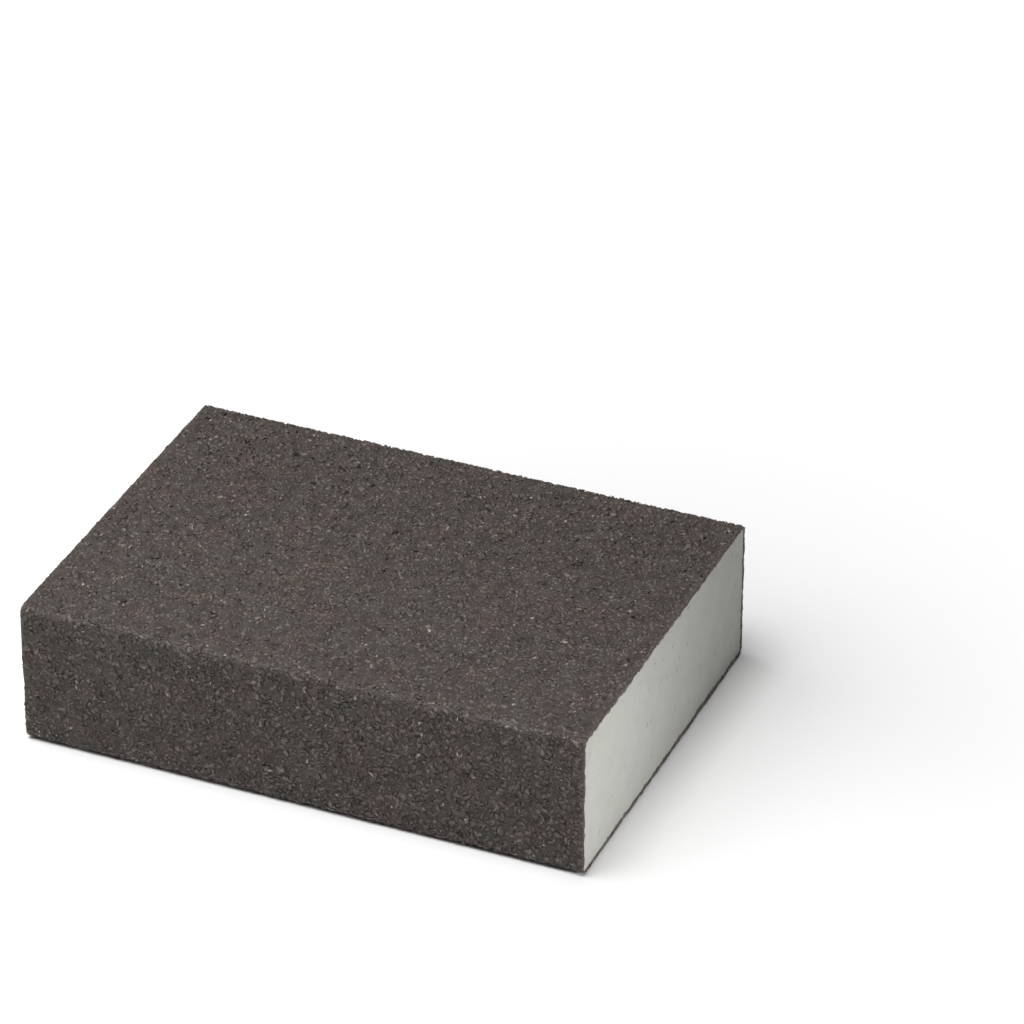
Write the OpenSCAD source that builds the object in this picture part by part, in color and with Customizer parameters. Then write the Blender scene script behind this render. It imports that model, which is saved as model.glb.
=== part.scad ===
// Four-sided foam sanding block.
// A firm foam bar carries coarse coated abrasive on its top, its bottom and its two long sides.
// The bar was cut to length after coating, so both of its ends are bare foam.
//
// The length runs along X, the width along Y and the thickness along Z.
// The origin is at the middle of the bottom face.
//
// Each coated face is a stack of three layers, from the foam outwards:
// make coat (the bonding resin), abrasive grain, and size coat (the resin over the grain).
// The layers of the long sides wrap round the rounded long edges.
// The layers of the top and the bottom cover the flat between those edges.

/* [Block] */

// Length of the block between its two bare ends
block_l = 98; // [60:1:150]
// Width of the block over its two coated long sides
block_w = 70; // [40:1:120]
// Thickness of the block over its coated top and bottom
block_t = 25.8; // [15:0.1:50]
// Outer radius of the four long edges
edge_r = 1.6; // [1.2:0.1:4]

/* [Coated abrasive] */

// Thickness of the make coat, the resin that bonds the grain to the foam
make_t = 0.15; // [0.05:0.05:0.3]
// Thickness of the layer of abrasive grain
grain_t = 0.35; // [0.1:0.05:0.6]
// Thickness of the size coat, the resin over the grain
size_t = 0.1; // [0.05:0.05:0.2]

/* [Colours] */

// Colour of the bare foam
foam_colour = "#b9bab2"; // color
// Colour of the make coat's resin, as its cut edge shows it
make_colour = "#5a3d33"; // color
// Colour of the abrasive grain
grain_colour = "#6b6663"; // color
// Colour of the size coat
size_colour = "#524b48"; // color

/* [Hidden] */

$fn = 64;

// Depth of each layer's outer surface under the outside of the block
grain_depth = size_t;
make_depth = grain_depth + grain_t;
foam_depth = make_depth + make_t;

// Half the width of the flat top and bottom, out to where the long edges start to round
flat_half_w = block_w / 2 - edge_r;

// Sweeps a cross-section, drawn with Y across and Z up, along the length of the block
module along_block() {
    translate([-block_l / 2, 0, 0])
        rotate([90, 0, 90])
            linear_extrude(height = block_l)
                children();
}

// Cross-section of the block with a skin of this depth taken off all round
module core_section(depth) {
    half_w = block_w / 2 - depth;
    mid_h = block_t - 2 * edge_r;
    union() {
        translate([-half_w, edge_r])
            square([2 * half_w, mid_h]);
        translate([-flat_half_w, depth])
            square([2 * flat_half_w, block_t - 2 * depth]);
        for (y = [-flat_half_w, flat_half_w], z = [edge_r, block_t - edge_r])
            translate([y, z])
                circle(r = edge_r - depth);
    }
}

// One layer of a broad face, from this depth inwards; up is true on the top face
module face_layer(depth, thickness, up) {
    z = up ? block_t - depth - thickness : depth;
    translate([-block_l / 2, -flat_half_w, z])
        cube([block_l, 2 * flat_half_w, thickness]);
}

// One layer of a long side with its two rounded edges; side is -1 at the front and 1 at the back
module side_layer(depth, thickness, side) {
    zone_y = side < 0 ? -block_w / 2 : flat_half_w;
    along_block()
        intersection() {
            difference() {
                core_section(depth);
                core_section(depth + thickness);
            }
            translate([zone_y, 0])
                square([edge_r, block_t]);
        }
}

// Foam bar inside the coats
module foam_core() {
    color(foam_colour)
        along_block()
            core_section(foam_depth);
}

// Layers of the top face
module top_make_coat() {
    color(make_colour) face_layer(make_depth, make_t, true);
}

module top_grain() {
    color(grain_colour) face_layer(grain_depth, grain_t, true);
}

module top_size_coat() {
    color(size_colour) face_layer(0, size_t, true);
}

// Layers of the bottom face
module bottom_make_coat() {
    color(make_colour) face_layer(make_depth, make_t, false);
}

module bottom_grain() {
    color(grain_colour) face_layer(grain_depth, grain_t, false);
}

module bottom_size_coat() {
    color(size_colour) face_layer(0, size_t, false);
}

// Layers of the front long side
module front_make_coat() {
    color(make_colour) side_layer(make_depth, make_t, -1);
}

module front_grain() {
    color(grain_colour) side_layer(grain_depth, grain_t, -1);
}

module front_size_coat() {
    color(size_colour) side_layer(0, size_t, -1);
}

// Layers of the back long side
module back_make_coat() {
    color(make_colour) side_layer(make_depth, make_t, 1);
}

module back_grain() {
    color(grain_colour) side_layer(grain_depth, grain_t, 1);
}

module back_size_coat() {
    color(size_colour) side_layer(0, size_t, 1);
}

foam_core();
top_make_coat();
top_grain();
top_size_coat();
bottom_make_coat();
bottom_grain();
bottom_size_coat();
front_make_coat();
front_grain();
front_size_coat();
back_make_coat();
back_grain();
back_size_coat();
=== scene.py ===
"""Looks of a four-sided foam sanding block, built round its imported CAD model.

The block is a bar of fine-celled foam with bare cut ends. Its top, bottom and two long sides carry
coarse coated abrasive: a make coat of red-brown resin, angular grains bedded in it, and a size coat
of dark resin between the grains. Every piece stands for one CAD node.

Lengths are in metres and colours are in linear light.
"""

import math
from itertools import product

import bpy
import numpy as np
from mathutils import Matrix, Vector


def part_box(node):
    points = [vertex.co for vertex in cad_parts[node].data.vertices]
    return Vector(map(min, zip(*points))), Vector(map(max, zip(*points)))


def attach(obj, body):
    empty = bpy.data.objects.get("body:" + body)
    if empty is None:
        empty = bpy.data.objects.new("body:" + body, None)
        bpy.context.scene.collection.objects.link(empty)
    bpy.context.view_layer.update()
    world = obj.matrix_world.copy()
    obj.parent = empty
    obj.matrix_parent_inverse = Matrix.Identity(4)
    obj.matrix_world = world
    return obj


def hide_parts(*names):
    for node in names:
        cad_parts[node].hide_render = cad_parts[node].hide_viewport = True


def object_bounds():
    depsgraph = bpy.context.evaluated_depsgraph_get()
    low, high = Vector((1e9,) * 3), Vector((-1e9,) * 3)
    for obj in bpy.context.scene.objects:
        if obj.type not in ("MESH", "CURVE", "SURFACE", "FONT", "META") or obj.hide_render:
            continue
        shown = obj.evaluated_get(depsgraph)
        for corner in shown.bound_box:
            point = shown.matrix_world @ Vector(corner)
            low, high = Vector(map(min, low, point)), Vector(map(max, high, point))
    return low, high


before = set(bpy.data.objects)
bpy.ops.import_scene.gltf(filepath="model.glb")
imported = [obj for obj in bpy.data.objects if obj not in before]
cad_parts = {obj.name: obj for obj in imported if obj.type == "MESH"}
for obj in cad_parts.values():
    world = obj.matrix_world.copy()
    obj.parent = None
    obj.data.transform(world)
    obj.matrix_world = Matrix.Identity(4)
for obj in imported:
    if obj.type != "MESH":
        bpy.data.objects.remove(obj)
cad_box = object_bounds()

# Sizes, all read from the CAD nodes ---------------------------------------------------------------

(X_LOW, Y_LOW, Z_LOW), (X_HIGH, Y_HIGH, Z_HIGH) = cad_box
LENGTH = X_HIGH - X_LOW
WIDTH = Y_HIGH - Y_LOW
HEIGHT = Z_HIGH - Z_LOW


def box_size(node):
    """Length, width and height of a CAD node's box."""
    low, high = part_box(node)
    return [b - a for a, b in zip(low, high)]


SIZE_T = box_size("top_size_coat")[2]
GRAIN_T = box_size("top_grain")[2]
MAKE_T = box_size("top_make_coat")[2]
COAT_T = SIZE_T + GRAIN_T + MAKE_T
FLAT = box_size("top_size_coat")[1]  # width of the flat top, between the rounded edges
EDGE_R = (WIDTH - FLAT) / 2
TALL = HEIGHT - 2 * EDGE_R  # height of the flat part of a long side
SIDE = TALL + math.pi * EDGE_R  # a long side and its two rounded edges, measured along the surface

# Each coated side: where it starts on the way round the cross-section, and how far it runs
SIDES = {
    "top": (0.0, FLAT),
    "back": (FLAT, SIDE),
    "bottom": (FLAT + SIDE, FLAT),
    "front": (2 * FLAT + SIDE, SIDE),
}
FACE = {"top": "wide", "bottom": "wide", "front": "narrow", "back": "narrow"}

# Looks --------------------------------------------------------------------------------------------

SEED = 7

GRAIN_PITCH = {"wide": 0.00063, "narrow": 0.00060}  # mean distance between grains
GRAIN_STRAY = 0.8  # how far a grain strays from its place in the grid, as a share of the pitch
GRAIN_LONG = 0.00086  # a middling grain's length
LONG_SPREAD = 0.34  # spread of the lengths, as a power of e
LONG_LIMITS = (-0.8, 0.7)  # the least and the greatest power
GRAIN_WIDE = (0.55, 0.95)  # width as a share of the length
GRAIN_TALL = (0.00044, 0.00064)  # height, from the point in the resin to the top
GRAIN_TILT = 0.24  # spread of the grains' lean along their length and across it, in radians
GRAIN_ROLL = 0.34
GRAIN_SINK = 0.00014  # how far the deepest grains sit below the highest
SINK_SHAPE = (1.8, 1.2)  # of the beta distribution that the grains' depths follow
# The barest tips, at the top of this range, get the painted glint colour
GRAIN_TONE = (0.25, 1.0)  # how bare of resin a grain's tip is

FILM_PITCH = 0.00042  # spacing of the film's points
FILM_DEPTH = {"wide": 0.00028, "narrow": 0.00034}  # mean depth of the film, under the grains' tips
FILM_LUMPS = 0.00010  # how far it climbs and drops between the grains
FILM_LEAST = 0.00002  # its least thickness
SEAM_ROW = 0.00002  # from a seam to the next row of points; a wide gap would be shaded dark
SWELL = 0.00012  # how far clusters of grains rise and fall; the film follows half as far

CHIPS = 0.00014  # how far the cut breaks back into the coats
CHIP_SHARE = 0.2  # more of the cut edge is chipped when this is larger

SOAK_PITCH = 0.00012  # spacing of the make coat's points across its cut section
SOAK_MEAN = 0.00003  # how far the make coat soaked into the foam
SOAK_SPREAD = 0.00070  # how unevenly it soaked in
MAKE_LEAST = 0.00003  # its least thickness

FOAM_PITCH = 0.00019  # spacing of the points on the foam's cut ends
FOAM_RECESS = 0.00018  # how far the cut foam sits back from the ends of the coats
FOAM_DIMPLES = 0.00003  # how uneven the cut foam is
PITS = 80  # open bubbles on each cut end
PIT_SIZE = (0.00016, 0.00042)  # their radius
PIT_DEPTH = 0.8  # as a share of the radius

# Patterns of unevenness: a first seed, and layers of (share of the height, size of the features)
LUMP_PATTERN = SEED, [(0.6, 0.0009), (0.4, 0.0004)]
SOAK_PATTERN = SEED + 2, [(0.4, 0.0022), (0.35, 0.0009), (0.25, 0.0004)]
DIMPLE_PATTERN = SEED + 5, [(0.5, 0.0009), (0.5, 0.0005)]
CHIP_PATTERN = SEED + 8, [(0.5, 0.0016), (0.5, 0.0006)]
SWELL_PATTERN = SEED + 12, [(0.6, 0.0026), (0.4, 0.0014)]

# A grain is a crystal with a narrow three-cornered top, a broad waist and a point in the resin.
# Its points are in half lengths, half widths and whole heights of the grain.
CRYSTAL = np.array([
    [0.05, 0.25, 0.5], [-0.5, -0.12, 0.45], [0.5, -0.12, 0.45],
    [-0.9, -0.75, -0.05], [0.9, -0.75, -0.05], [0.9, 0.75, -0.05], [-0.9, 0.75, -0.05],
    [0.0, 0.0, -0.5],
])
CRYSTAL_KNOCK = [0.22, 0.24, 0.14]  # how far each grain's points stray from these
CRYSTAL_BARE = np.array([1.0, 1.0, 1.0, 0.2, 0.2, 0.2, 0.2, 0.0])  # how bare of resin each point is
CRYSTAL_SHOWN = np.array([
    [0, 1, 2], [3, 4, 2], [3, 2, 1], [4, 5, 2], [5, 0, 2], [5, 6, 0], [6, 1, 0], [6, 3, 1],
])
CRYSTAL_SUNK = np.array([[4, 3, 7], [5, 4, 7], [6, 5, 7], [3, 6, 7]])

# Grit, by how bare of resin it is: the last step is a painted glint, a bright colour on the barest grain
# tips
GRIT_AND_GLINT_COLOURS = [
    (0.0, (0.046, 0.0385, 0.0342)),
    (0.4, (0.066, 0.0552, 0.0484)),
    (0.8, (0.113, 0.095, 0.083)),
    (0.965, (0.138, 0.118, 0.1045)),
    (1.0, (0.48, 0.44, 0.41)),
]
# The others wander between a darker and a lighter colour
FILM_COLOURS = [(0.3, (0.046, 0.0385, 0.0342)), (0.7, (0.064, 0.054, 0.048))]
RESIN_COLOURS = [(0.3, (0.0625, 0.05, 0.04375)), (0.7, (0.1187, 0.09, 0.07875))]
FOAM_COLOURS = [(0.3, (0.374, 0.374, 0.345)), (0.7, (0.403, 0.403, 0.374))]
CUT_RESIN = (0.1025, 0.075, 0.0663, 1)
CUT_REACH = (0.0015, 0.0002)  # from this far inside the cut ends to this far, the coats turn red-brown
CUT_SHARE = 0.38  # how far they turn
# Tints that a colour is multiplied by
GREEN_TO_RED = [(0.40, (0.98, 1.01, 1.0)), (0.62, (1.07, 0.97, 0.985))]
DARK_TO_LIGHT = [(0.3, (0.77, 0.77, 0.77)), (0.7, (1.23, 1.23, 1.23))]
# Paler rounded long edges: rubbed wear, and a painted highlight band
WEAR_AND_EDGE_HIGHLIGHT = [(0.0, (1.0, 1.0, 1.0)), (1.0, (1.17, 1.17, 1.17))]
PALE_EDGE_REACH = 0.6  # the paler band, rubbed wear and painted highlight, is full this far past both flats, as a share of the edges' radius
# Painted shade: the cut foam is darker in the hollows of its cells
FOAM_HOLLOW_SHADE = [(0.05, (0.955, 0.955, 0.955)), (0.6, (1.03, 1.03, 1.03))]

# Layout of the unit square that each piece's surface is unrolled into
UV_EDGE = 0.015
UV_SPAN = 0.97
UV_TUCKED = (0.3, 0.7)  # height and foot of the part that holds the grains' sunk faces
UV_SECOND_END = 0.4  # how far above the first the foam's second end lies
UV_LONG_FACES = (0.82, 0.98)  # foot and top of the foam's long faces

# The floor glows from this distance on, and fully from the second one
GLOW_REACH = (0.06, 0.23)
GLOW = 0.50
FLOOR_RADIUS = 6.0


# Shape helpers ------------------------------------------------------------------------------------


def around(s):
    """Points (y, z) and outward normals at distances s round the cross-section.

    It starts at the front end of the flat top, runs along the top to the back, down the back side,
    along the bottom to the front and up the front side. The second half is the first one turned
    half a turn about the middle of the section.
    """
    s = np.mod(np.asarray(s, float), 2 * (FLAT + SIDE))
    turned = s >= FLAT + SIDE
    s = np.where(turned, s - FLAT - SIDE, s)
    quarter = EDGE_R * math.pi / 2
    past_flat = s - FLAT
    down = np.clip(past_flat - quarter, 0, TALL)
    angle = (np.clip(past_flat, 0, quarter) + np.clip(past_flat - quarter - TALL, 0, quarter)) / EDGE_R
    normal = np.stack([np.sin(angle), np.cos(angle)], -1)
    centre = np.stack([np.minimum(s, FLAT) - FLAT / 2, HEIGHT / 2 - EDGE_R - down], -1)
    point = centre + EDGE_R * normal
    sign = np.where(turned, -1.0, 1.0)[..., None]
    return point * sign + [0, HEIGHT / 2], normal * sign


def on_coat(x, s, depth):
    """Points at length x, distance s round the section and this depth under the outside."""
    point, normal = around(s)
    yz = point - np.asarray(depth)[..., None] * normal
    return np.stack([np.broadcast_to(x, yz.shape[:-1]), yz[..., 0], yz[..., 1]], -1)


def hashed(cells, seed):
    """A number from 0 to 1 for each whole-number cell, the same one each time."""
    h = np.full(cells.shape[:-1], seed * 374761393 + 668265263, np.uint32)
    for k in range(cells.shape[-1]):
        h = (h ^ cells[..., k].astype(np.uint32)) * np.uint32(2654435761)
        h ^= h >> np.uint32(15)
        h *= np.uint32(2246822519)
        h ^= h >> np.uint32(13)
    return h / 4294967295.0


def noise(points, size, seed):
    """Smooth noise from -1 to 1 with features of this size."""
    q = np.asarray(points, float) / size
    base = np.floor(q)
    f = q - base
    f = f * f * (3 - 2 * f)
    total = np.zeros(q.shape[:-1])
    for corner in product((0, 1), repeat=q.shape[-1]):
        weight = np.prod(np.where(corner, f, 1 - f), axis=-1)
        total += weight * hashed((base + corner).astype(np.int64), seed)
    return 2 * total - 1


def uneven(points, pattern):
    """Heights from -1 to 1 that follow a pattern's layers of noise."""
    first_seed, layers = pattern
    return sum(share * noise(points, size, first_seed + k) for k, (share, size) in enumerate(layers))


def dip(x, s):
    """How deep the grains lie in the slow rise and fall of the coat, where they settled in clusters."""
    return SWELL * (1 - uneven(np.stack([x, s], -1), SWELL_PATTERN)) / 2


def cut_end(x, s):
    """Length positions held behind the cut ends, where the cut broke small chips out of the coat."""
    pattern = uneven(np.stack([np.sign(x), s], -1), CHIP_PATTERN)
    limit = X_HIGH - CHIPS * np.maximum(pattern + CHIP_SHARE, 0)
    return np.clip(x, -limit, limit)


def spin(points, angle, a, b):
    """Points of each grain turned by its own angle, from axis a towards axis b."""
    c, d = np.cos(angle)[:, None], np.sin(angle)[:, None]
    out = points.copy()
    out[..., a] = c * points[..., a] - d * points[..., b]
    out[..., b] = d * points[..., a] + c * points[..., b]
    return out


def rounded(y, z, half_y, half_z, radius):
    """Points of a rectangle moved so that its corners are round."""
    over_y = np.maximum(np.abs(y) - (half_y - radius), 0) / radius
    over_z = np.maximum(np.abs(z) - (half_z - radius), 0) / radius
    long = np.hypot(over_y, over_z)
    pull = np.where(long > 0, np.maximum(over_y, over_z) / np.maximum(long, 1e-9), 1)
    fix_y = np.sign(y) * (np.minimum(np.abs(y), half_y - radius) + over_y * pull * radius)
    fix_z = np.sign(z) * (np.minimum(np.abs(z), half_z - radius) + over_z * pull * radius)
    return fix_y, fix_z


# Mesh helpers -------------------------------------------------------------------------------------


def make_mesh(name, points, polygons, uv, tone=None):
    """A mesh object. polygons and uv are lists of arrays, (count, corners) and (count, corners, 2)."""
    mesh = bpy.data.meshes.new(name)
    mesh.vertices.add(len(points))
    mesh.vertices.foreach_set("co", np.asarray(points, np.float32).ravel())
    corners = np.concatenate([p.ravel() for p in polygons]).astype(np.int32)
    sizes = np.concatenate([np.full(len(p), p.shape[1]) for p in polygons])
    starts = np.concatenate([[0], np.cumsum(sizes)[:-1]]).astype(np.int32)
    mesh.loops.add(len(corners))
    mesh.loops.foreach_set("vertex_index", corners)
    mesh.polygons.add(len(sizes))
    mesh.polygons.foreach_set("loop_start", starts)
    mesh.update(calc_edges=True)
    layer = mesh.uv_layers.new(name="OFBake")
    layer.data.foreach_set("uv", np.concatenate([q.ravel() for q in uv]).astype(np.float32))
    if tone is not None:
        mesh.attributes.new("tone", "FLOAT", "POINT").data.foreach_set("value", tone.astype(np.float32))
    mesh.validate()
    piece = bpy.data.objects.new(name, mesh)
    bpy.context.scene.collection.objects.link(piece)
    return piece


def grid_faces(n_a, n_b):
    """Quads of a grid of n_a by n_b points, numbered with b running fastest, facing outwards."""
    a, b = np.meshgrid(np.arange(n_a - 1), np.arange(n_b - 1), indexing="ij")
    first = (a * n_b + b).ravel()
    return np.stack([first, first + n_b, first + n_b + 1, first + 1], -1)


def strip_uv(x, s, start):
    """UV of points on a coated side, laid flat at the bottom of the unit square without stretching."""
    return np.stack([x - X_LOW, s - start], -1) * (UV_SPAN / LENGTH) + UV_EDGE


# Pieces -------------------------------------------------------------------------------------------


def shell(name, side, pitches, outer, inner):
    """A closed layer over one coated side, between two depths given as functions of x and s.

    The outer surface is a grid. The inner one has plain faces from end to end, as nothing shows it.
    """
    start, run = SIDES[side]
    n_x = round(LENGTH / pitches[0]) + 1
    n_s = round(run / pitches[1]) + 1
    rows = np.concatenate([[0], np.linspace(SEAM_ROW, run - SEAM_ROW, n_s - 2), [run]])
    x, s = np.meshgrid(np.linspace(X_LOW, X_HIGH, n_x), start + rows, indexing="ij")
    cut = cut_end(x, s)
    outside = on_coat(cut, s, outer(x, s)).reshape(-1, 3)
    inside = on_coat(cut, s, inner(x, s)).reshape(-1, 3)

    over = np.arange(n_x * n_s).reshape(n_x, n_s)
    rim = np.zeros((n_x, n_s), bool)
    rim[[0, -1], :] = True
    rim[:, [0, -1]] = True
    under = np.full((n_x, n_s), -1)
    under[rim] = n_x * n_s + np.arange(rim.sum())

    walls = []
    for high, low in (
        (over[0, ::-1], under[0, ::-1]),
        (over[-1], under[-1]),
        (over[:, 0], under[:, 0]),
        (over[::-1, -1], under[::-1, -1]),
    ):
        walls.append(np.stack([high[:-1], low[:-1], low[1:], high[1:]], -1))
    first = np.concatenate([under[::-1, 0], under[[0, -1], 1]])[None]
    last = np.concatenate([under[:, -1], under[[-1, 0], -2]])[None]
    middle = np.stack([under[0, 1:-2], under[0, 2:-1], under[-1, 2:-1], under[-1, 1:-2]], -1)

    points = np.concatenate([outside, inside[rim.ravel()]])
    polygons = [grid_faces(n_x, n_s), *walls, first, last, middle]
    flat = strip_uv(x.ravel(), s.ravel(), start)
    flat = np.concatenate([flat, flat[rim.ravel()]])
    return make_mesh(name, points, polygons, [flat[p] for p in polygons])


def size_coat(side):
    """The dark resin film between the grains, lumpy where it climbs round them."""

    def outer(x, s):
        lumps = FILM_LUMPS * uneven(np.stack([x, s], -1), LUMP_PATTERN)
        depth = FILM_DEPTH[FACE[side]] + lumps + dip(x, s) / 2
        return np.minimum(depth, SIZE_T + GRAIN_T - FILM_LEAST)

    def inner(x, s):
        return np.full(x.shape, SIZE_T + GRAIN_T)

    return shell(f"{side}_size_film", side, (FILM_PITCH, FILM_PITCH), outer, inner)


def make_coat(side):
    """The bonding resin. Its section shows at the cut ends as a wavy line, where it soaked in."""

    def outer(x, s):
        return np.full(x.shape, SIZE_T + GRAIN_T)

    def inner(x, s):
        soak = SOAK_MEAN + SOAK_SPREAD * uneven(np.stack([np.sign(x), s], -1), SOAK_PATTERN)
        return np.maximum(COAT_T + soak, SIZE_T + GRAIN_T + MAKE_LEAST)

    return shell(f"{side}_make_resin", side, (LENGTH, SOAK_PITCH), outer, inner)


def scattered(side, r):
    """Places (x, s) of one side's grains, each near its own place in a grid."""
    start, run = SIDES[side]
    pitch = GRAIN_PITCH[FACE[side]]
    cells = np.meshgrid(np.arange(round(LENGTH / pitch)) + 0.5, np.arange(round(run / pitch)) + 0.5)
    x, s = (c.ravel() + r.uniform(-GRAIN_STRAY, GRAIN_STRAY, c.size) for c in cells)
    return np.clip(X_LOW + x * pitch, X_LOW, X_HIGH), start + np.clip(s * pitch, 0, run)


def crystals(count, r):
    """Points of this many grains, each its own size and shape, round its own middle."""
    long = GRAIN_LONG * np.exp(np.clip(r.normal(0, LONG_SPREAD, count), *LONG_LIMITS))
    wide = long * r.uniform(*GRAIN_WIDE, count)
    size = np.stack([long / 2, wide / 2, r.uniform(*GRAIN_TALL, count)], -1)
    points = (CRYSTAL + r.normal(0, 1, (count, len(CRYSTAL), 3)) * CRYSTAL_KNOCK) * size[:, None, :]
    turn = r.uniform(0, 2 * math.pi, count)
    tilt = r.normal(0, GRAIN_TILT, count)
    roll = r.normal(0, GRAIN_ROLL, count)
    return spin(spin(spin(points, roll, 1, 2), tilt, 2, 0), turn, 0, 1)


def grains(side):
    """The abrasive grains of one side: separate sharp crystals bedded in the size coat."""
    r = np.random.default_rng([SEED, list(SIDES).index(side)])
    x, s = scattered(side, r)
    count = len(x)
    local = crystals(count, r)
    tip = local[..., 2].max(1)
    sink = GRAIN_SINK * r.beta(*SINK_SHAPE, count) + dip(x, s)
    depth = np.minimum((sink + tip)[:, None] - local[..., 2], COAT_T)
    at_s = s[:, None] + local[..., 1]
    at_x = cut_end(x[:, None] + local[..., 0], at_s)
    points = on_coat(at_x, at_s, depth).reshape(-1, 3)

    first = np.arange(count)[:, None, None] * len(CRYSTAL)
    shown = (first + CRYSTAL_SHOWN).reshape(-1, 3)
    sunk = (first + CRYSTAL_SUNK).reshape(-1, 3)
    flat = strip_uv(at_x.ravel(), at_s.ravel(), SIDES[side][0])
    height, foot = UV_TUCKED
    tucked = flat * [1, height] + [0, foot]  # the sunk faces get the free top of the unit square
    tone = (r.uniform(*GRAIN_TONE, count)[:, None] * CRYSTAL_BARE).ravel()
    return make_mesh(f"{side}_grit", points, [shown, sunk], [flat[shown], tucked[sunk]], tone)


def cut_depth(sign, y, z, low, high, r):
    """How deep the cut face of the foam lies at each point, with its dimples and open bubbles."""
    across = np.stack([np.full(y.shape, float(sign)), y, z], -1)
    depth = FOAM_RECESS + FOAM_DIMPLES * (1 + uneven(across, DIMPLE_PATTERN))
    for _ in range(PITS):
        pit_y, pit_z = r.uniform(low[1:], high[1:])
        size = r.uniform(*PIT_SIZE)
        away = np.hypot(y - pit_y, z - pit_z) / size
        depth += PIT_DEPTH * size * np.sqrt(np.maximum(1 - away**2, 0))
    return depth


def foam():
    """The foam bar. Its two cut ends are fine grids, joined by long plain faces under the coats."""
    low, high = (np.array(v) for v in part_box("foam_core"))
    _, half_y, half_z = (high - low) / 2
    n_y = round(2 * half_y / FOAM_PITCH) + 1
    n_z = round(2 * half_z / FOAM_PITCH) + 1
    y, z = np.meshgrid(np.linspace(-half_y, half_y, n_y), np.linspace(-half_z, half_z, n_z), indexing="ij")
    y, z = rounded(y, z, half_y, half_z, EDGE_R - COAT_T)
    z = z + HEIGHT / 2
    r = np.random.default_rng([SEED, len(SIDES)])
    ends = []
    for sign in (-1, 1):
        x = sign * (X_HIGH - cut_depth(sign, y, z, low, high, r))
        ends.append(np.stack([x, y, z], -1).reshape(-1, 3))

    count = n_y * n_z
    index = np.arange(count).reshape(n_y, n_z)
    ring = np.concatenate([index[:-1, 0], index[-1, :-1], index[:0:-1, -1], index[0, :0:-1]])
    following = np.roll(ring, -1)
    quads = grid_faces(n_y, n_z)
    long_faces = np.stack([ring, following, following + count, ring + count], -1)

    # The unit square holds one end at the bottom, the other above it and the long faces at the top
    end_uv = np.stack([y - low[1], z - low[2]], -1).reshape(-1, 2) * (UV_SPAN / (2 * half_y)) + UV_EDGE
    along = np.linspace(UV_EDGE, UV_EDGE + UV_SPAN, len(ring) + 1)
    long_u = np.stack([along[:-1], along[1:], along[1:], along[:-1]], -1)
    long_v = np.broadcast_to(np.repeat(UV_LONG_FACES, 2), long_u.shape)
    polygons = [quads[:, ::-1], quads + count, long_faces]
    uv = [end_uv[quads[:, ::-1]], end_uv[quads] + [0, UV_SECOND_END], np.stack([long_u, long_v], -1)]
    return make_mesh("foam", np.concatenate(ends), polygons, uv)


# Material helpers ---------------------------------------------------------------------------------


def material(name, rough, specular):
    """A new material, its node tree and its shader."""
    m = bpy.data.materials.new(name)
    m.use_nodes = True
    shader = m.node_tree.nodes["Principled BSDF"]
    shader.inputs["Roughness"].default_value = rough
    shader.inputs["Specular IOR Level"].default_value = specular
    return m, m.node_tree, shader


def node(tree, kind, values=None, links=None, **settings):
    """A node of this kind, with input values, links from other sockets and settings."""
    n = tree.nodes.new(kind)
    for key, value in settings.items():
        setattr(n, key, value)
    for key, value in (values or {}).items():
        n.inputs[key].default_value = value
    for key, socket in (links or {}).items():
        tree.links.new(socket, n.inputs[key])
    return n


def maths(tree, operation, *inputs):
    """The result of a Math node, whose inputs are sockets or numbers."""
    n = node(tree, "ShaderNodeMath", operation=operation)
    for slot, value in enumerate(inputs):
        if isinstance(value, bpy.types.NodeSocket):
            tree.links.new(value, n.inputs[slot])
        else:
            n.inputs[slot].default_value = value
    return n.outputs["Value"]


def object_position(tree):
    """The place on the piece, in metres."""
    return node(tree, "ShaderNodeTexCoord").outputs["Object"]


def axes_of(tree, vector):
    """The vector's three parts, as sockets."""
    return node(tree, "ShaderNodeSeparateXYZ", links={"Vector": vector}).outputs


def cloud(tree, place, scale, detail, roughness=0.5):
    """Cloudy noise from 0 to 1, with features about 1 / scale metres wide."""
    values = {"Scale": scale, "Detail": detail, "Roughness": roughness}
    return node(tree, "ShaderNodeTexNoise", values, {"Vector": place}).outputs["Fac"]


def stretched(tree, value, low, high, top=1.0):
    """The value mapped so that low becomes 0 and high becomes top."""
    limits = {"From Min": low, "From Max": high, "To Min": 0.0, "To Max": top}
    return node(tree, "ShaderNodeMapRange", limits, {"Value": value}).outputs["Result"]


def ramp(tree, factor, stops):
    """A colour ramp driven by a socket. stops are (place, (r, g, b)) pairs."""
    n = node(tree, "ShaderNodeValToRGB", links={"Fac": factor})
    elements = n.color_ramp.elements
    while len(elements) < len(stops):
        elements.new(1.0)
    for e, (place, colour) in zip(elements, stops):
        e.position = place
        e.color = (*colour, 1)
    return n.outputs["Color"]


def multiplied(tree, a, b):
    """The product of two colours."""
    mix = node(tree, "ShaderNodeMix", {"Factor": 1.0}, data_type="RGBA", blend_type="MULTIPLY")
    tree.links.new(a, mix.inputs["A"])
    tree.links.new(b, mix.inputs["B"])
    return mix.outputs["Result"]


def bumped(tree, shader, height, strength, distance):
    """Gives the shader's surface the relief of a height socket."""
    bump = node(tree, "ShaderNodeBump", {"Strength": strength, "Distance": distance}, {"Height": height})
    tree.links.new(bump.outputs["Normal"], shader.inputs["Normal"])


def tinted(tree, place, colour):
    """The colour with wide patches that lean to red-brown and small ones lighter and darker."""
    hue = ramp(tree, cloud(tree, place, scale=150.0, detail=3.0, roughness=0.6), GREEN_TO_RED)
    shade = ramp(tree, cloud(tree, place, scale=480.0, detail=2.0), DARK_TO_LIGHT)
    return multiplied(tree, multiplied(tree, colour, hue), shade)


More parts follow.
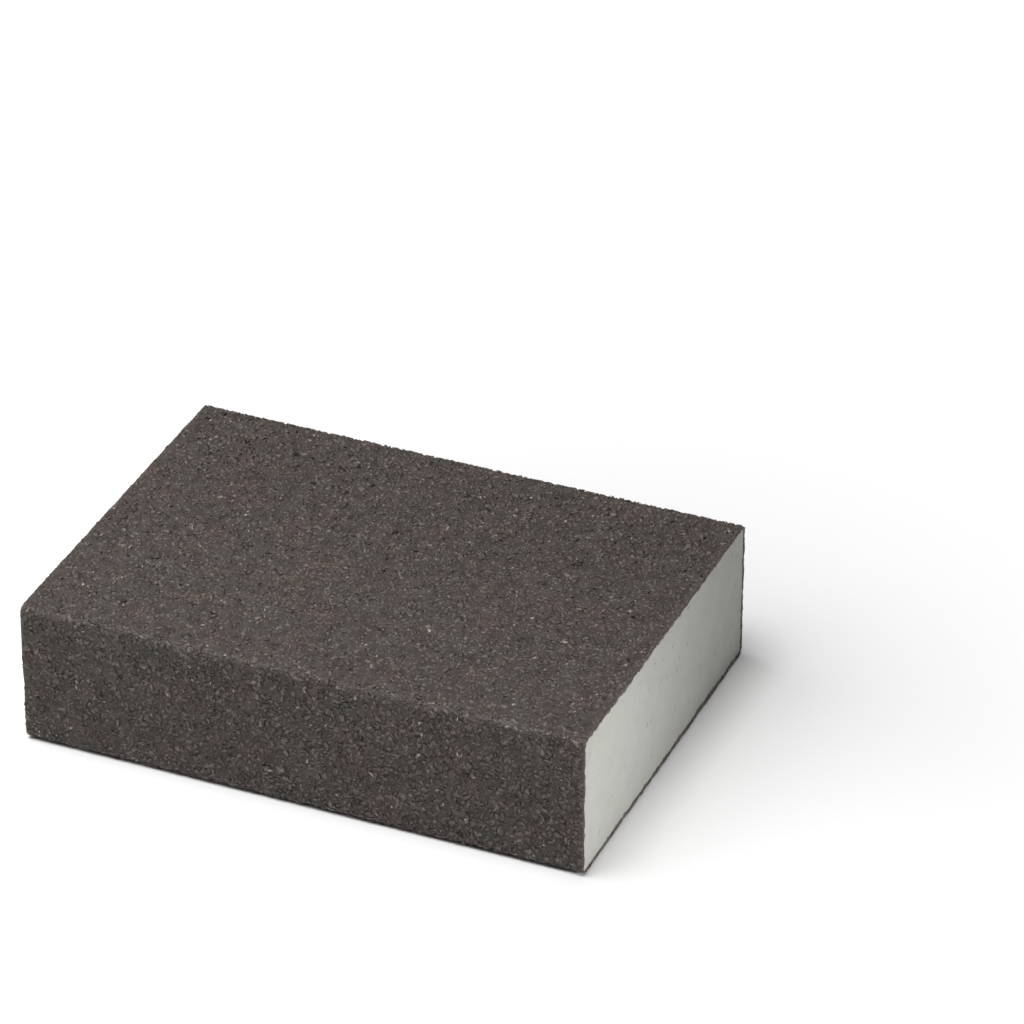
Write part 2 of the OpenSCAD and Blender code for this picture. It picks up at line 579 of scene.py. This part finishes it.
def worn_and_edge_lit(tree, place, colour):
    """The colour, paler along the rounded long edges: the coat is rubbed first there, and the band is also
    a painted highlight where the rounded edges face the light.
    """
    _, y, z = axes_of(tree, place)
    past_flat = maths(tree, "SUBTRACT", maths(tree, "ABSOLUTE", y), FLAT / 2)
    above_middle = maths(tree, "SUBTRACT", z, HEIGHT / 2)
    past_side = maths(tree, "SUBTRACT", maths(tree, "ABSOLUTE", above_middle), TALL / 2)
    bend = maths(tree, "MINIMUM", past_flat, past_side)
    # The paler edge band is partly a painted highlight
    return multiplied(tree, colour, ramp(tree, stretched(tree, bend, 0.0, EDGE_R * PALE_EDGE_REACH), WEAR_AND_EDGE_HIGHLIGHT))


def reddened(tree, place, colour):
    """The colour, turning to red-brown resin where the cut ends lay the coat's section open."""
    far = maths(tree, "ABSOLUTE", axes_of(tree, place)[0])
    low, high = (X_HIGH - reach for reach in CUT_REACH)
    mix = node(tree, "ShaderNodeMix", data_type="RGBA")
    tree.links.new(stretched(tree, far, low, high, top=CUT_SHARE), mix.inputs["Factor"])
    tree.links.new(colour, mix.inputs["A"])
    mix.inputs["B"].default_value = CUT_RESIN
    return mix.outputs["Result"]


# Materials ----------------------------------------------------------------------------------------


def grit_material():
    """Aluminium oxide grain: dark where the resin covers it, with a few bright facets that are painted
    glints.
    """
    m, tree, shader = material("abrasive_grit", rough=0.52, specular=0.40)
    place = object_position(tree)
    tone = node(tree, "ShaderNodeAttribute", attribute_name="tone").outputs["Fac"]
    # The tone ramp's last step paints glints on the barest grain tips
    colour = worn_and_edge_lit(tree, place, tinted(tree, place, ramp(tree, tone, GRIT_AND_GLINT_COLOURS)))
    tree.links.new(reddened(tree, place, colour), shader.inputs["Base Color"])
    return m


def film_material():
    """The size coat: dark, slightly satin resin with a fine rough skin."""
    m, tree, shader = material("size_resin", rough=0.6, specular=0.3)
    place = object_position(tree)
    fine = cloud(tree, place, scale=1400.0, detail=3.0)
    colour = worn_and_edge_lit(tree, place, tinted(tree, place, ramp(tree, fine, FILM_COLOURS)))
    tree.links.new(reddened(tree, place, colour), shader.inputs["Base Color"])
    bumped(tree, shader, fine, strength=0.5, distance=0.00012)
    return m


def make_material():
    """The make coat: red-brown resin, which shows in section at the cut ends."""
    m, tree, shader = material("make_resin", rough=0.45, specular=0.5)
    fine = cloud(tree, object_position(tree), scale=900.0, detail=3.0)
    tree.links.new(ramp(tree, fine, RESIN_COLOURS), shader.inputs["Base Color"])
    return m


def foam_material():
    """Cut foam: matt and pale, with fine cells, and painted shade in the cells' hollows."""
    m, tree, shader = material("cut_foam", rough=0.85, specular=0.3)
    place = object_position(tree)
    broad = cloud(tree, place, scale=260.0, detail=5.0)
    cells = node(tree, "ShaderNodeTexVoronoi", {"Scale": 2600.0}, {"Vector": place}, feature="F1")
    height = cells.outputs["Distance"]
    # The cells' hollows, low in the bump's height, are painted darker: painted shade
    colour = multiplied(tree, ramp(tree, broad, FOAM_COLOURS), ramp(tree, height, FOAM_HOLLOW_SHADE))
    tree.links.new(colour, shader.inputs["Base Color"])
    bumped(tree, shader, height, strength=0.4, distance=0.0001)
    return m


def floor_material():
    """Matt white that glows a little away from the block, so that the floor stays white to its rim."""
    m, tree, shader = material("floor", rough=0.9, specular=0.1)
    shader.inputs["Base Color"].default_value = (0.82, 0.82, 0.82, 1)
    shader.inputs["Emission Color"].default_value = (1, 1, 1, 1)
    away = node(tree, "ShaderNodeVectorMath", links={0: object_position(tree)}, operation="LENGTH")
    glow = stretched(tree, away.outputs["Value"], *GLOW_REACH, top=GLOW)
    tree.links.new(glow, shader.inputs["Emission Strength"])
    return m


# Object -------------------------------------------------------------------------------------------


def dress(piece, look, cad_node):
    """Gives a piece its material, hangs it under the root body, and puts it in place of its CAD node."""
    piece.data.materials.append(look)
    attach(piece, "root")
    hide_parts(cad_node)


def block():
    """The whole sanding block: the foam bar, and three layers on each coated side."""
    grit, film, resin, cut_foam = grit_material(), film_material(), make_material(), foam_material()
    core = foam()
    dress(core, cut_foam, "foam_core")
    for side in SIDES:
        dress(make_coat(side), resin, f"{side}_make_coat")
        dress(size_coat(side), film, f"{side}_size_coat")
        dress(grains(side), grit, f"{side}_grain")


# Scene --------------------------------------------------------------------------------------------


def aim(obj, place, target, roll=0.0):
    """Puts a camera or light at a place, looking at a target."""
    way = Vector(target) - Vector(place)
    turn = way.to_track_quat("-Z", "Y").to_matrix().to_4x4()
    obj.matrix_world = Matrix.Translation(place) @ turn @ Matrix.Rotation(roll, 4, "Z")


def orbit(centre, distance, azimuth, elevation):
    """The point at this distance from the centre; azimuth 0 is at the front and 90 at the +X end."""
    a, e = math.radians(azimuth), math.radians(elevation)
    way = Vector((math.sin(a) * math.cos(e), -math.cos(a) * math.cos(e), math.sin(e)))
    return Vector(centre) + distance * way


def lamp(kind, name, energy, target, distance, azimuth, elevation):
    """A new light aimed at a target. It returns the light's settings."""
    light = bpy.data.lights.new(name, kind)
    light.energy = energy
    obj = bpy.data.objects.new(name, light)
    bpy.context.scene.collection.objects.link(obj)
    aim(obj, orbit(target, distance, azimuth, elevation), target)
    return light


def lights():
    """Broad light from above, softer light from the left, and a narrow beam on the near cut end."""
    middle = (0, 0, HEIGHT / 2)
    key = lamp("SUN", "key", 2.03, middle, distance=1.0, azimuth=-20, elevation=80)
    key.angle = math.radians(36)

    fill = lamp("AREA", "fill", 0.84, middle, distance=0.30, azimuth=-70, elevation=58)
    fill.shape = "DISK"
    fill.size = 0.40

    near_corner = (X_HIGH, Y_LOW - 0.001, HEIGHT / 2)
    beam = lamp("SPOT", "end_light", 12.1, near_corner, distance=0.6, azimuth=84, elevation=16)
    beam.shadow_soft_size = 0.03
    beam.spot_size = math.radians(10.6)
    beam.spot_blend = 1.0


def camera():
    """A long lens at the photo's viewing angle, with the block low and left in the frame."""
    lens = bpy.data.cameras.new("camera")
    lens.lens = 198.2
    lens.sensor_width = 36
    obj = bpy.data.objects.new("camera", lens)
    bpy.context.scene.collection.objects.link(obj)
    target = (0.0045, 0.0415, HEIGHT / 2)
    place = orbit(target, distance=0.9523, azimuth=22.84, elevation=32.03)
    aim(obj, place, target, roll=math.radians(0.21))
    bpy.context.scene.camera = obj


def floor():
    """A wide round floor, level with the bottom of the block."""
    bpy.ops.mesh.primitive_circle_add(vertices=96, radius=FLOOR_RADIUS, fill_type="NGON")
    disc = bpy.context.object
    disc.name = "floor"
    disc.data.materials.append(floor_material())


def sky():
    """White near the horizon, which lights the sides of the block, and dim higher up."""
    world = bpy.data.worlds.new("world")
    bpy.context.scene.world = world
    world.use_nodes = True
    tree = world.node_tree
    up = axes_of(tree, node(tree, "ShaderNodeTexCoord").outputs["Generated"])[2]
    colour = ramp(tree, up, [(0.05, (1.0, 1.0, 1.0)), (0.11, (0.04, 0.04, 0.04))])
    tree.links.new(colour, tree.nodes["Background"].inputs["Color"])


camera()
block()
floor()
sky()
lights()
bpy.context.scene.view_settings.view_transform = "Standard"
